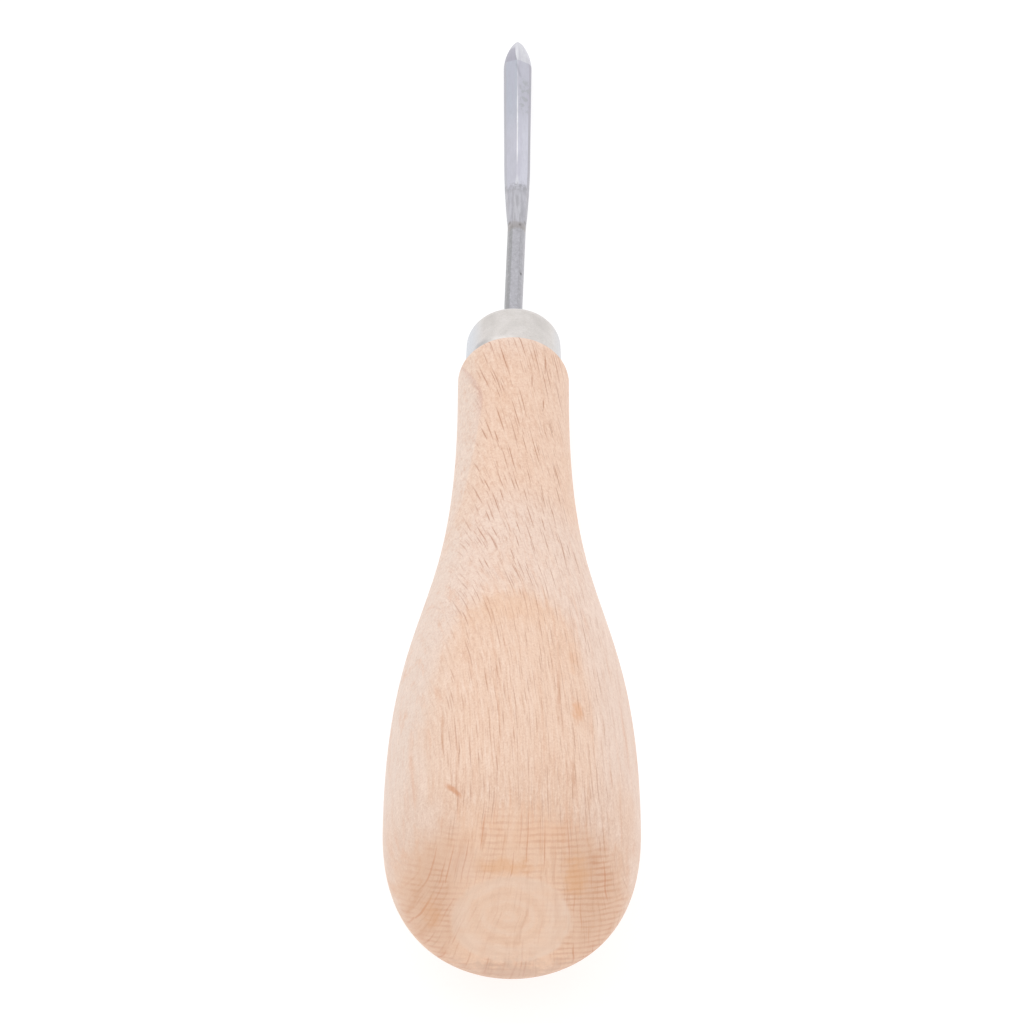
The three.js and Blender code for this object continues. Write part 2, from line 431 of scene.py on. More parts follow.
class Graph:
    """Adds shader nodes to one material and links them."""

    def __init__(self, name):
        self.material = bpy.data.materials.new(name)
        self.material.use_nodes = True
        self.tree = self.material.node_tree
        self.tree.nodes.clear()

    def feed(self, socket, value):
        if isinstance(value, bpy.types.NodeSocket):
            self.tree.links.new(value, socket)
        else:
            socket.default_value = value

    def node(self, kind, inputs=None, **settings):
        node = self.tree.nodes.new(kind)
        for key, value in settings.items():
            setattr(node, key, value)
        for key, value in (inputs or {}).items():
            self.feed(node.inputs[key], value)
        return node

    def math(self, operation, a, b=0.0, c=0.0):
        return self.node("ShaderNodeMath", {0: a, 1: b, 2: c}, operation=operation).outputs[0]

    def sum(self, *values):
        total = values[0]
        for value in values[1:]:
            total = self.math("ADD", total, value)
        return total

    def times(self, *values):
        total = values[0]
        for value in values[1:]:
            total = self.math("MULTIPLY", total, value)
        return total

    def minus(self, a, b):
        return self.math("SUBTRACT", a, b)

    def vector(self, operation, a, b=(0, 0, 0)):
        node = self.node("ShaderNodeVectorMath", {0: a, 1: b}, operation=operation)
        return node.outputs["Value" if operation in ("LENGTH", "DOT_PRODUCT") else "Vector"]

    def split(self, value):
        return tuple(self.node("ShaderNodeSeparateXYZ", {0: value}).outputs)

    def join(self, x, y, z):
        return self.node("ShaderNodeCombineXYZ", {0: x, 1: y, 2: z}).outputs[0]

    def step(self, low, high, value, to_low=0.0, to_high=1.0):
        """Smooth step of value from low to high."""
        node = self.node(
            "ShaderNodeMapRange",
            {"Value": value, "From Min": low, "From Max": high, "To Min": to_low, "To Max": to_high},
            interpolation_type="SMOOTHSTEP",
        )
        return node.outputs[0]

    def noise(self, place, scale=1.0, detail=2.0, roughness=0.5):
        """Noise from 0 to 1. scale is one number, or one for each axis."""
        if isinstance(scale, tuple):
            place, scale = self.vector("MULTIPLY", place, scale), 1.0
        node = self.node(
            "ShaderNodeTexNoise",
            {"Vector": place, "Scale": scale, "Detail": detail, "Roughness": roughness},
        )
        return node.outputs[0]

    def wander(self, size, place, *look):
        """Noise centred on 0 and size times as strong; look is what noise takes after place."""
        return self.times(self.minus(self.noise(place, *look), 0.5), size)

    def mix(self, factor, a, b):
        node = self.node("ShaderNodeMix", data_type="RGBA")
        self.feed(node.inputs[0], factor)
        self.feed(node.inputs[6], a)
        self.feed(node.inputs[7], b)
        return node.outputs[2]

    def tint(self, colour, share, rgb):
        """colour, turned towards an 8-bit sRGB colour by share."""
        return self.mix(share, colour, srgb(*rgb))

    def two_tone(self, colour, noise, share, dark, pale, ends=(0.75, 0.25), middle=0.5):
        """Darkens colour where noise is high and lightens it where noise is low.

        dark and pale are each (strength, sRGB colour); ends is where each is at its strongest.
        """
        for end, (strength, rgb) in zip(ends, (dark, pale)):
            colour = self.tint(colour, self.times(self.step(middle, end, noise), share, strength), rgb)
        return colour

    def bump(self, height, distance, strength):
        inputs = {"Height": height, "Distance": distance, "Strength": strength}
        return self.node("ShaderNodeBump", inputs).outputs[0]

    def surface(self, **inputs):
        shader = self.node("ShaderNodeBsdfPrincipled")
        for key, value in inputs.items():
            self.feed(shader.inputs[key.replace("_", " ")], value)
        output = self.node("ShaderNodeOutputMaterial")
        self.tree.links.new(shader.outputs[0], output.inputs[0])
        return self.material

    def in_awl_axes(self, vector, scale=1.0):
        """Across, along and up parts of a vector, in the awl's own axes."""
        axes = [tuple(PLACEMENT.col[i].to_3d() * scale) for i in range(3)]
        return self.join(*(self.vector("DOT_PRODUCT", vector, axis) for axis in axes))

    def local_mm(self):
        """The awl's own coordinates, in mm: across, along, up."""
        place = self.node("ShaderNodeTexCoord").outputs["Object"]
        from_butt = self.vector("SUBTRACT", place, tuple(PLACEMENT.translation))
        return self.in_awl_axes(from_butt, 1 / MM)

    def local_normal(self):
        return self.in_awl_axes(self.node("ShaderNodeTexCoord").outputs["Normal"])


class Fields:
    """Shader values that the functions of one material share."""


def blot(g, mm, middle, half, ragged, edge=0.15):
    """1 inside an ellipsoid, fading to 0 outside it; ragged roughens its outline."""
    apart = g.vector("SUBTRACT", mm, middle)
    reach = g.vector("LENGTH", g.vector("MULTIPLY", apart, tuple(1 / h for h in half)))
    return g.step(1.0, edge, g.sum(reach, ragged))


def between(g, value, start, stop, blur):
    """1 from start to stop, fading over blur at both ends."""
    return g.times(g.step(start - blur, start + blur, value), g.step(stop + blur, stop - blur, value))


# ---------------------------------------------------------------- beech

# Wood rays fan out from one line, growth rings curve round another: (across, up), mm.
RAY_PITH = (7.0, 55.0)
RAY_LEVEL = 12.0              # height at which distances square to the rays are true
RING_PITH = (0.5, -20.0)
GRAIN_SLANT_BELLY = 0.07
GRAIN_SLANT_NECK = 0.10       # added to the belly's from about 45 mm on
CREST_EDGE = 13.9             # heights of the two growth rings that show
NECK_EDGE = 6.5
RING_LINE_SPACING = 0.95      # ring lines on the end grain, mm
DISC_RING_SPACING = 2.4       # rings left on the sanded disc, mm

# Wood rays: half sizes and spacing (square to the rays, along the awl, along the rays) in mm,
# the share left out, and a shift that sets each kind apart.
SIDE_RAYS = (
    ((0.095, 4.2, 3.8), (0.66, 7.4, 6.8), 0.0, 0.0),
    ((0.085, 2.3, 2.6), (0.55, 4.4, 4.8), 0.1, 13.7),
    ((0.065, 1.3, 1.6), (0.5, 3.0, 3.2), 0.1, 31.3),
)
END_RAYS = ((0.12, 6.0, 4.2), (0.75, 12.0, 5.8), 0.0, 51.9)

# Grain of the wood: changes per mm (square to the rays, along the awl, along the rays), detail,
# roughness.
FIBRE = ((1.5, 0.055, 0.5), 5.0, 0.65)
THREAD = ((3.6, 0.2, 2.0), 2.0, 0.6)
SPECKLE = ((5.0, 3.0, 4.0), 2.0, 0.7)
GRIT = ((2.8, 0.9, 2.0), 3.0, 0.7)
END_STREAKS = ((1.0, 0.15, 0.08), 4.0, 0.7)

BEECH = {
    "body_dark": (233, 206, 189),
    "body_pale": (236, 211, 196),
    "neck": (236, 202, 179),
    "crest": (237, 204, 181),
    "crest_rim": (230, 186, 154),
    "neck_line": (206, 150, 130),
    # The next colour is a painted sheen for faces turned left.
    "left": (212, 202, 192),
    "warm": (230, 184, 150),
    # The next colour is painted shade low on the sides near the butt.
    "painted_butt_shade": (226, 188, 162),
    "fibre_dark": (222, 174, 144),
    "fibre_pale": (244, 218, 201),
    "thread_dark": (210, 166, 140),
    "thread_pale": (250, 226, 210),
    "speckle_dark": (206, 164, 140),
    "speckle_pale": (254, 230, 214),
    "grit_dark": (214, 168, 138),
    "grit_pale": (250, 226, 206),
    "end": (251, 207, 172),
    "end_off_middle": (202, 160, 132),
    "streak_dark": (206, 146, 106),
    "streak_pale": (236, 200, 174),
    "ring_line": (200, 132, 96),
    "end_ray": (204, 130, 90),
    "fleck": (206, 138, 92),
    "dash": (174, 112, 80),
    "disc": (232, 202, 180),
    "disc_rim": (242, 218, 200),
    "disc_pale": (240, 216, 198),
    "disc_dark": (208, 164, 136),
}

# Stains, and one painted shade low on the butt: middle (across, along, up), half sizes (across, along,
# up), colour, strength.
STAINS_AND_PAINTED_SHADE = {
    "amber_spot": ((8.2, 23.2, 13.9), (1.1, 3.6, 1.8), (224, 164, 120), 0.6),
    "amber_streak": ((7.6, 33.0, 13.2), (0.8, 5.0, 1.8), (228, 176, 138), 0.4),
    "left_streak": ((-8.7, 19.5, 13.7), (0.3, 5.5, 1.8), (206, 156, 122), 0.5),
    "right_streak": ((5.8, 25.5, 14.9), (0.35, 8.0, 1.8), (212, 162, 132), 0.5),
    "lower_streak": ((7.6, 11.0, 14.0), (0.35, 4.2, 1.8), (210, 160, 130), 0.5),
    "crest_warmth": ((-1.0, 41.5, 14.0), (9.5, 5.0, 3.4), (232, 188, 152), 0.25),
    "butt_amber_right": ((7.9, 0.9, 7.0), (2.6, 3.0, 4.6), (228, 170, 118), 0.45),
    "butt_amber_middle": ((-1.0, 0.3, 9.0), (6.0, 2.0, 1.7), (230, 172, 122), 0.45),
    "butt_amber_left": ((-9.8, 0.5, 0.6), (2.2, 2.0, 3.6), (222, 164, 118), 0.4),
    "butt_amber_top": ((4.5, 2.8, 12.4), (8.5, 2.8, 1.9), (238, 190, 156), 0.3),
    # Painted shade, not a stain: darker low down on the butt.
    "butt_under_painted_shade": ((0.0, 0.8, -10.2), (13.0, 4.5, 4.6), (204, 170, 150), 0.6),
    "butt_pale": ((-6.0, 0.8, 9.0), (3.0, 2.5, 4.0), (236, 202, 180), 0.45),
}

# Where the ring lines on the butt are strongest: middle and half sizes.
HATCHED = ((4.0, 3.0, 12.0), (10.0, 4.0, 3.8))

# An orange fleck on the left of the belly: middle, and its long, short and deep half axes.
FLECK_MIDDLE = (-7.3, 8.8, 13.9)
FLECK_AXES = ((1.4, -1.9, 0.3), (0.34, 0.25, 0.0), (0.3, 0.3, 1.8))

# Deep pores on the right of the neck, as (across, along, up) and half length along.
NECK_PORES = (
    ((2.45, 93.7, 7.05), 2.0),
    ((4.2, 98.2, 6.2), 3.0),
    ((3.95, 89.6, 6.4), 1.6),
)


def ray_dashes(g, ray_place, size, spacing, least, shift):
    """Wood rays as thin lens-shaped plates. Returns 0 to 1 where a surface cuts one."""
    shifted = g.vector("ADD", ray_place, (shift, shift * 3.1, shift * 7.7))
    place = g.vector("DIVIDE", shifted, spacing)
    cells = g.node("ShaderNodeTexVoronoi", {"Vector": place, "Scale": 1.0, "Randomness": 1.0})
    apart = g.vector("SUBTRACT", place, cells.outputs["Position"])
    reach = tuple(space / part for space, part in zip(spacing, size))
    distance = g.vector("LENGTH", g.vector("MULTIPLY", apart, reach))
    chance = g.split(cells.outputs["Color"])[0]
    inside = g.step(1.0, 0.3, distance)
    return g.times(inside, g.step(least, 0.75, chance))


def fleck(g, w):
    """1 inside the slanting fleck, fading to 0 outside it."""
    apart = g.vector("SUBTRACT", w.mm, FLECK_MIDDLE)
    parts = []
    for axis in FLECK_AXES:
        scaled = Vector(axis) / Vector(axis).length_squared
        parts.append(g.vector("DOT_PRODUCT", apart, tuple(scaled)))
    reach = g.vector("LENGTH", g.join(*parts))
    return g.step(1.0, 0.2, g.sum(reach, g.times(w.ragged, 0.9)))


def radius_from(g, across, up, centre):
    """Distance from a line along the awl, in mm."""
    side = g.minus(across, centre[0])
    rise = g.minus(up, centre[1])
    return g.math("SQRT", g.sum(g.math("POWER", side, 2.0), g.math("POWER", rise, 2.0)))


def grain_slant(g, along, waver, ripple):
    """How far the grain has drifted sideways, in mm."""
    past_belly = g.math("SMOOTH_MAX", g.minus(along, 45.0), 0.0, 18.0)
    return g.sum(
        g.times(along, GRAIN_SLANT_BELLY),
        g.times(past_belly, GRAIN_SLANT_NECK),
        g.times(waver, 2.0),
        g.times(ripple, 0.12),
    )


def ray_coordinates(g, w, slant):
    """The place as (square to the rays, along, along the rays), and how flat on a ray is cut."""
    side = g.minus(w.across, RAY_PITH[0])
    below = g.minus(RAY_PITH[1], w.up)
    angle = g.math("ARCTAN2", side, below)
    square = g.sum(g.times(angle, RAY_PITH[1] - RAY_LEVEL), slant)
    ray_square = g.join(g.math("COSINE", angle), 0.12, g.math("SINE", angle))
    flat_on = g.math("ABSOLUTE", g.vector("DOT_PRODUCT", g.local_normal(), ray_square))
    return g.join(square, w.along, radius_from(g, w.across, w.up, RAY_PITH)), flat_on


def ring_height(g, w, waver):
    """Height at which the growth ring through a point crosses the middle of the handle."""
    front = g.math("MAXIMUM", g.minus(w.along, 90.0), 0.0)
    curl = g.times(g.math("POWER", front, 2.0), 0.02)
    return g.sum(radius_from(g, w.across, w.up, RING_PITH), RING_PITH[1], curl, waver)


def wood_fields(g):
    """Places in mm, directions, grain and noises that the beech is made from."""
    w = Fields()
    w.mm = g.local_mm()
    w.across, w.along, w.up = g.split(w.mm)
    w.facing_across, facing_along = g.split(g.local_normal())[:2]
    w.facing_butt = g.times(facing_along, -1.0)
    waver = g.wander(1.0, w.mm, (0.08, 0.03, 0.08), 2.0)
    ripple = g.wander(1.0, w.mm, (0.5, 0.2, 0.5), 1.0)
    w.ray_place, w.flat_on = ray_coordinates(g, w, grain_slant(g, w.along, waver, ripple))
    w.height = ring_height(g, w, g.times(waver, 0.8))

    w.fibre = g.noise(w.ray_place, *FIBRE)
    w.thread = g.noise(w.ray_place, *THREAD)
    w.speckle = g.noise(w.ray_place, *SPECKLE)
    w.grit = g.noise(w.ray_place, *GRIT)
    w.wobble = g.wander(2.6, w.mm, 0.25, 4.0, 0.65)
    w.ragged = g.wander(1.4, w.mm, 0.9, 3.0, 0.6)

    w.end_grain = g.step(0.24, 0.72, g.sum(w.facing_butt, g.times(g.minus(w.fibre, 0.5), 0.4)))
    w.side_grain = g.minus(1.0, w.end_grain)
    w.from_axis = g.vector("LENGTH", g.join(w.across, 0.0, w.up))
    in_disc = g.step(7.9, 7.1, g.sum(w.from_axis, g.times(w.wobble, 0.5)))
    w.disc = g.times(in_disc, g.step(2.5, 0.5, w.along))
    return w


def ring_zones(g, w):
    """Paler, pinker and warmer zones between the growth rings."""
    height, across, along = w.height, w.across, w.along
    torn = g.sum(height, g.times(g.minus(w.fibre, 0.5), 1.6))
    mottle = g.noise(w.mm, (0.11, 0.06, 0.11), 3.0, 0.5)
    colour = g.mix(mottle, srgb(*BEECH["body_dark"]), srgb(*BEECH["body_pale"]))

    above_ring = g.step(NECK_EDGE - 0.1, NECK_EDGE + 0.1, height)
    above = g.math("MAXIMUM", above_ring, g.step(-1.0, 2.0, across))
    on_neck = g.times(above, g.step(62.0, 74.0, along), g.step(11.0, 7.8, height))
    colour = g.tint(colour, on_neck, BEECH["neck"])

    crest = g.step(CREST_EDGE - 1.3, CREST_EDGE + 0.6, torn)
    colour = g.tint(colour, crest, BEECH["crest"])
    rim_rise = g.step(CREST_EDGE - 0.5, CREST_EDGE + 0.1, torn)
    rim = g.times(rim_rise, g.step(CREST_EDGE + 1.4, CREST_EDGE, torn))
    colour = g.tint(colour, g.times(rim, g.step(26.0, 38.0, along), 0.3), BEECH["crest_rim"])

    off = g.minus(height, NECK_EDGE)
    line = g.times(g.step(-0.5, -0.05, off), g.step(0.12, 0.0, off))
    left_neck = g.times(g.step(-1.0, -3.0, across), g.step(84.0, 92.0, along))
    return g.tint(colour, g.times(line, left_neck, 0.5), BEECH["neck_line"])


def side_tinted(g, w, colour):
    """Broad tints: a painted pale grey sheen on faces turned left, warm streaks, and painted shade on
    the sides towards the butt.
    """
    # Painted sheen: faces turned left are tinted paler and greyer.
    painted_left_sheen = g.step(-0.35, -0.85, w.facing_across)
    colour = g.tint(colour, g.times(painted_left_sheen, 0.3), BEECH["left"])
    warm = g.step(0.52, 0.78, g.noise(w.mm, (0.16, 0.04, 0.12), 3.0, 0.55))
    colour = g.tint(colour, g.times(warm, 0.35), BEECH["warm"])
    # Painted shade: darker and browner towards the butt, reaching further on faces turned sideways.
    butt_distance = g.sum(w.along, g.times(g.math("ABSOLUTE", w.facing_across), -7.0))
    painted_butt_shade = g.step(14.0, 1.0, butt_distance)
    return g.tint(colour, g.times(painted_butt_shade, 0.35), BEECH["painted_butt_shade"])


def side_grained(g, w, colour):
    """Fibres, threads, speckle and grit; fibres are strongest on the belly, grit on the neck."""
    on_belly = g.step(60.0, 42.0, w.along)
    streaky = g.sum(0.45, g.times(on_belly, 0.55))
    colour = g.two_tone(
        colour, w.fibre, streaky, (0.6, BEECH["fibre_dark"]), (0.5, BEECH["fibre_pale"]), middle=0.48,
    )
    flat_cut = g.times(w.side_grain, g.step(0.95, 0.7, w.flat_on, 0.15, 0.4))
    thready = g.times(g.sum(0.05, flat_cut), streaky)
    colour = g.two_tone(
        colour, w.thread, thready, (1.0, BEECH["thread_dark"]), (1.0, BEECH["thread_pale"]),
    )
    colour = g.two_tone(
        colour, w.speckle, 1.0, (0.4, BEECH["speckle_dark"]), (0.42, BEECH["speckle_pale"]),
    )
    gritty = g.times(w.side_grain, g.step(30.0, 70.0, w.along, 0.15, 0.42))
    return g.two_tone(
        colour, w.grit, gritty, (1.0, BEECH["grit_dark"]), (1.0, BEECH["grit_pale"]), ends=(0.7, 0.3),
    )


def ring_lines(g, w):
    """Close lines where the butt cuts across the growth rings: how strong, and where."""
    layer = g.noise(w.mm, (0.18, 0.2, 0.5), 3.0, 0.6)
    level = g.sum(w.up, g.times(w.along, 0.7))
    turns = g.sum(g.times(level, 2 * math.pi / RING_LINE_SPACING), g.times(layer, 7.0))
    gain = g.sum(
        g.step(0.35, 0.7, g.noise(w.mm, (0.3, 0.25, 0.15), 2.0)),
        g.step(2.0, 9.0, w.across, 0.0, 0.5),
    )
    hatched = blot(g, w.mm, *HATCHED, g.times(w.ragged, 0.5))
    gain = g.times(g.sum(gain, g.times(hatched, 0.6)), g.minus(1.0, g.times(w.disc, 0.6)))
    return gain, g.step(-0.4, 1.0, g.math("SINE", turns))


def end_grained(g, w, colour):
    """End grain on the butt: browner, crossed by ray streaks and ring lines."""
    colour = g.tint(colour, g.times(w.end_grain, 0.5), BEECH["end"])
    off_middle = g.step(4.0, 10.0, g.math("ABSOLUTE", w.across))
    colour = g.tint(colour, g.times(w.end_grain, off_middle, 0.4), BEECH["end_off_middle"])
    streaks = g.noise(w.ray_place, *END_STREAKS)
    colour = g.two_tone(
        colour, streaks, w.end_grain, (0.35, BEECH["streak_dark"]), (0.4, BEECH["streak_pale"]),
        ends=(0.7, 0.3),
    )
    gain, lines = ring_lines(g, w)
    colour = g.tint(colour, g.times(w.end_grain, gain, lines, 0.28), BEECH["ring_line"])
    cut_square = g.times(g.step(0.2, 0.6, w.facing_butt), g.step(0.98, 0.8, w.flat_on))
    cut_square = g.times(cut_square, g.minus(1.0, g.times(w.disc, 0.7)))
    end_rays = ray_dashes(g, w.ray_place, *END_RAYS)
    return g.tint(colour, g.times(cut_square, end_rays, 0.5), BEECH["end_ray"])


def stains_and_painted_shade(g, w, colour):
    # Real stains, then the painted shade low on the butt, then the fleck.
    for middle, half, tint, strength in STAINS_AND_PAINTED_SHADE.values():
        colour = g.tint(colour, g.times(blot(g, w.mm, middle, half, w.ragged), strength), tint)
    return g.tint(colour, g.times(fleck(g, w), 0.6), BEECH["fleck"])


def side_dashes(g, w):
    """About 1 where the sides cut a wood ray or a deep pore; rays are fainter on the far left."""
    long_rays, short_rays, fine_rays = (ray_dashes(g, w.ray_place, *kind) for kind in SIDE_RAYS)
    dashes = g.math("MAXIMUM", long_rays, g.math("MAXIMUM", short_rays, g.times(fine_rays, 0.6)))
    dashes = g.times(dashes, g.step(0.95, 0.7, w.flat_on, 0.2, 1.0))
    dashes = g.times(dashes, g.step(-0.85, -0.4, w.facing_across, 0.3, 1.0))
    for middle, reach in NECK_PORES:
        pore = blot(g, w.mm, middle, (0.12, reach, 0.8), g.times(w.ragged, 0.3), 0.2)
        dashes = g.math("MAXIMUM", dashes, g.times(pore, 1.1))
    return dashes


def dashed(g, w, colour, dashes):
    """Dashes come after the stains, so that they lie over them."""
    on_side = g.sum(0.25, g.times(w.side_grain, 0.75))
    depth = g.times(on_side, g.step(40.0, 62.0, w.along, 0.46, 0.64))
    return g.tint(colour, g.times(dashes, depth), BEECH["dash"])


def disc_sanded(g, w, colour):
    """The sanded disc in the middle of the butt: paler, with a patchy rim and faint rings."""
    off_centre = g.vector("LENGTH", g.join(g.sum(w.across, 0.4), 0.0, g.sum(w.up, -0.3)))
    out = g.sum(off_centre, w.wobble)
    swirl = g.math("SINE", g.times(out, 2 * math.pi / DISC_RING_SPACING))
    patchy = g.step(0.25, 0.6, g.noise(w.mm, 0.35, 2.0))
    colour = g.tint(colour, g.times(w.disc, 0.22), BEECH["disc"])
    rim = g.times(w.disc, g.step(5.0, 6.2, out))
    colour = g.tint(colour, g.times(rim, patchy, 0.3), BEECH["disc_rim"])
    for peak, strength, rgb in ((1.0, 0.22, BEECH["disc_pale"]), (-1.0, 0.12, BEECH["disc_dark"])):
        ring = g.times(w.disc, patchy, g.step(0.0, peak, swirl, 0.0, strength))
        colour = g.tint(colour, ring, rgb)
    return colour


def beech():
    g = Graph("beech")
    w = wood_fields(g)
    dashes = side_dashes(g, w)
    colour = ring_zones(g, w)
    colour = side_tinted(g, w, colour)
    colour = side_grained(g, w, colour)
    colour = end_grained(g, w, colour)
    colour = stains_and_painted_shade(g, w, colour)
    colour = dashed(g, w, colour, dashes)
    colour = disc_sanded(g, w, colour)
    turning = g.noise(g.join(w.from_axis, w.along, 0.0), (3.0, 9.0, 1.0), 2.0)
    relief = g.sum(
        g.times(dashes, -1.0),
        g.times(w.thread, -0.3),
        g.times(w.speckle, 0.35),
        g.times(w.grit, 0.3),
        g.times(turning, 0.1),
    )
    return g.surface(
        Base_Color=colour,
        Roughness=g.sum(0.52, g.times(w.fibre, 0.12), g.times(dashes, 0.15)),
        Specular_IOR_Level=0.4,
        Sheen_Weight=0.08,
        Sheen_Roughness=0.4,
        Normal=g.bump(relief, 0.03 * MM, 0.6),
    )


# ---------------------------------------------------------------- ferrule metal

NICKEL = {
    "dark": (215, 210, 206),
    "pale": (226, 221, 218),
    # The next two colours are painted reflections on the ferrule's sides.
    "left": (212, 215, 221),
    "right": (214, 214, 216),
    "speck_dark": (186, 181, 177),
    "speck_pale": (240, 238, 236),
    "brushed": (196, 194, 193),
    "patch": (196, 191, 188),
    # The next colour is a painted shadow at the ferrule's left rear.
    "painted_shadow": (168, 167, 170),
    # The next colour is a painted highlight on the front-facing rim.
    "front": (242, 242, 244),
}
FERRULE_PATCHES = ((-3.3, 107.6, 5.5), (3.9, 107.6, 5.1))
FERRULE_PATCH_SIZE = (2.0, 3.6, 2.4)
# Painted shadow on the ferrule's left rear, by the wood: middle and half sizes.
FERRULE_PAINTED_SHADOW = ((-4.4, 103.4, 4.7), (2.2, 1.3, 1.6))


def ferrule_metal():
    g = Graph("ferrule_metal")
    mm = g.local_mm()
    across, along, up = g.split(mm)
    lean, front = g.split(g.local_normal())[:2]
    from_axis = g.vector("LENGTH", g.join(across, 0.0, up))
    brushed = g.noise(g.join(across, along, from_axis), (0.5, 22.0, 9.0), 3.0, 0.6)
    blotch = g.noise(mm, 0.6, 4.0, 0.6)
    specks = g.noise(mm, 5.0, 3.0, 0.7)
    ragged = g.wander(1.2, mm, 0.8, 3.0, 0.6)

    colour = g.mix(g.step(0.3, 0.7, blotch), srgb(*NICKEL["dark"]), srgb(*NICKEL["pale"]))
    # Painted reflection: faces turned far left or right are tinted paler and bluish.
    colour = g.tint(colour, g.step(-0.6, -0.95, lean), NICKEL["left"])
    colour = g.tint(colour, g.step(0.75, 1.0, lean), NICKEL["right"])
    colour = g.two_tone(
        colour, specks, 1.0, (0.4, NICKEL["speck_dark"]), (0.3, NICKEL["speck_pale"]),
    )
    colour = g.tint(colour, g.times(g.step(0.45, 0.7, brushed), 0.25), NICKEL["brushed"])
    for middle in FERRULE_PATCHES:
        patch = blot(g, mm, middle, FERRULE_PATCH_SIZE, ragged)
        colour = g.tint(colour, g.times(patch, 0.34), NICKEL["patch"])
    # Painted shadow: a soft dark patch at the left of the joint with the wood.
    painted_shadow = blot(g, mm, *FERRULE_PAINTED_SHADOW, g.times(ragged, 0.4))
    colour = g.tint(colour, g.times(painted_shadow, 0.5), NICKEL["painted_shadow"])
    # Painted highlight: front-facing surfaces round the hole turn almost white.
    colour = g.tint(colour, g.times(g.step(0.45, 0.68, front), 0.7), NICKEL["front"])

    relief = g.sum(g.times(brushed, 0.6), g.times(blotch, 0.8), g.times(specks, 0.4))
    return g.surface(
        Base_Color=colour,
        Metallic=1.0,
        Roughness=g.sum(0.36, g.times(blotch, 0.14)),
        Anisotropic=0.3,
        Normal=g.bump(relief, 0.02 * MM, 0.6),
    )


# ---------------------------------------------------------------- blade steel

# Painted reflections: each face of the blade is coloured by how far it leans sideways, in place of the
# light it reflects: lean, colour.
NEAR_TIP_PAINTED_REFLECTIONS = (
    (-0.66, (182, 182, 189)),
    (-0.60, (189, 193, 204)),
    (-0.16, (192, 195, 206)),
    (-0.10, (206, 206, 215)),
    (0.10, (206, 206, 215)),
    (0.16, (198, 198, 209)),
    (0.60, (196, 196, 207)),
    (0.66, (174, 173, 182)),
)
MID_BLADE_PAINTED_REFLECTIONS = (
    (-0.66, (186, 186, 193)),
    (-0.60, (200, 200, 210)),
    (-0.16, (201, 200, 211)),
    (-0.10, (216, 216, 225)),
    (0.10, (216, 216, 225)),
    (0.16, (212, 212, 223)),
    (0.60, (210, 210, 221)),
    (0.66, (176, 175, 182)),
)
SHANK_PAINTED_REFLECTIONS = (
    (-0.62, (159, 159, 161)),
    (-0.36, (163, 163, 166)),
    (-0.30, (186, 185, 191)),
    (0.30, (184, 183, 189)),
    (0.36, (166, 165, 170)),
    (0.62, (175, 174, 179)),
)
TIP_PAINTED_REFLECTIONS = (
    (-0.75, (170, 169, 180)),
    (-0.12, (180, 179, 190)),
    (-0.06, (232, 232, 238)),
    (0.06, (234, 234, 239)),
    (0.12, (220, 220, 225)),
    (0.75, (216, 216, 222)),
)

STEEL = {
    # The next colour is a painted highlight along the blade's ridge.
    "ridge": (250, 250, 253),
    "cloud": (172, 172, 178),
    "grind": (168, 168, 176),
    "grain_dark": (146, 145, 149),
    "grain_pale": (206, 206, 212),
    "ground": (190, 186, 200),
    # The next colour is painted shade on the shank by the ferrule.
    "painted_ferrule_shade": (150, 150, 156),
    "stain": (166, 170, 170),
    "apex": (216, 216, 222),
    "streak": (158, 158, 168),
    "mottled": (156, 155, 160),
    "dull": (180, 179, 185),
    "drawn_dark": (160, 159, 164),
    "drawn_pale": (206, 206, 212),
    "band": (150, 142, 136),
    "pit": (104, 98, 94),
    "nick": (96, 92, 92),
}

# Marks along the blade are counted back from a line this far behind the point, in mm.
FACE_MARK_SHIFT = 1.0

# Stretches of the blade counted that way: start, stop, blur.
POINT_STREAK = (5.0, 7.9, 0.4)
RIGHT_STAIN = (8.0, 15.5, 1.0)
FIRST_GLINT = (29.5, 31.4, 0.4)
MOTTLED = (31.2, 33.0, 0.5)
DULL = (32.2, 40.0, 1.0)
SECOND_GLINT = (34.0, 39.0, 0.6)
SHOULDER_BAND = (39.5, 41.0, 0.4)

# Grain of the steel: changes per mm (across, along, up), detail, roughness.
GRIND = ((12.0, 0.6, 6.0), 3.0, 0.6)
CLOUD = ((0.9, 0.28, 0.9), 4.0, 0.6)
SPOTS = ((1.7, 1.1, 1.7), 3.0, 0.6)
GRAINS = ((2.8, 1.9, 2.8), 3.0, 0.7)
GROUND_LINES = ((2.0, 0.06, 1.0), 2.0, 0.5)
DRAWN = ((3.2, 0.3, 1.6), 3.0, 0.6)

# Pits at the shoulder and a nick in the shank, as (across, back from the very point, up).
PITS = ((-0.6, 40.5, 0.6), (0.8, 41.2, 0.9), (1.45, 40.2, 0.4))
PIT_SIZE = (0.3, 0.5, 0.8)
NICK = (0.92, 51.3, 0.75)
NICK_SIZE = (0.25, 0.5, 0.8)


def by_lean(g, lean, painted_faces):
    """Painted reflection: colour looked up by a face's sideways lean."""
    node = g.node("ShaderNodeValToRGB", {0: g.sum(g.times(lean, 0.5), 0.5)})
    ramp = node.color_ramp
    while len(ramp.elements) < len(painted_faces):
        ramp.elements.new(0.5)
    for element, (at, tint) in zip(ramp.elements, painted_faces):
        element.position = at * 0.5 + 0.5
        element.color = srgb(*tint)
    return node.outputs[0]


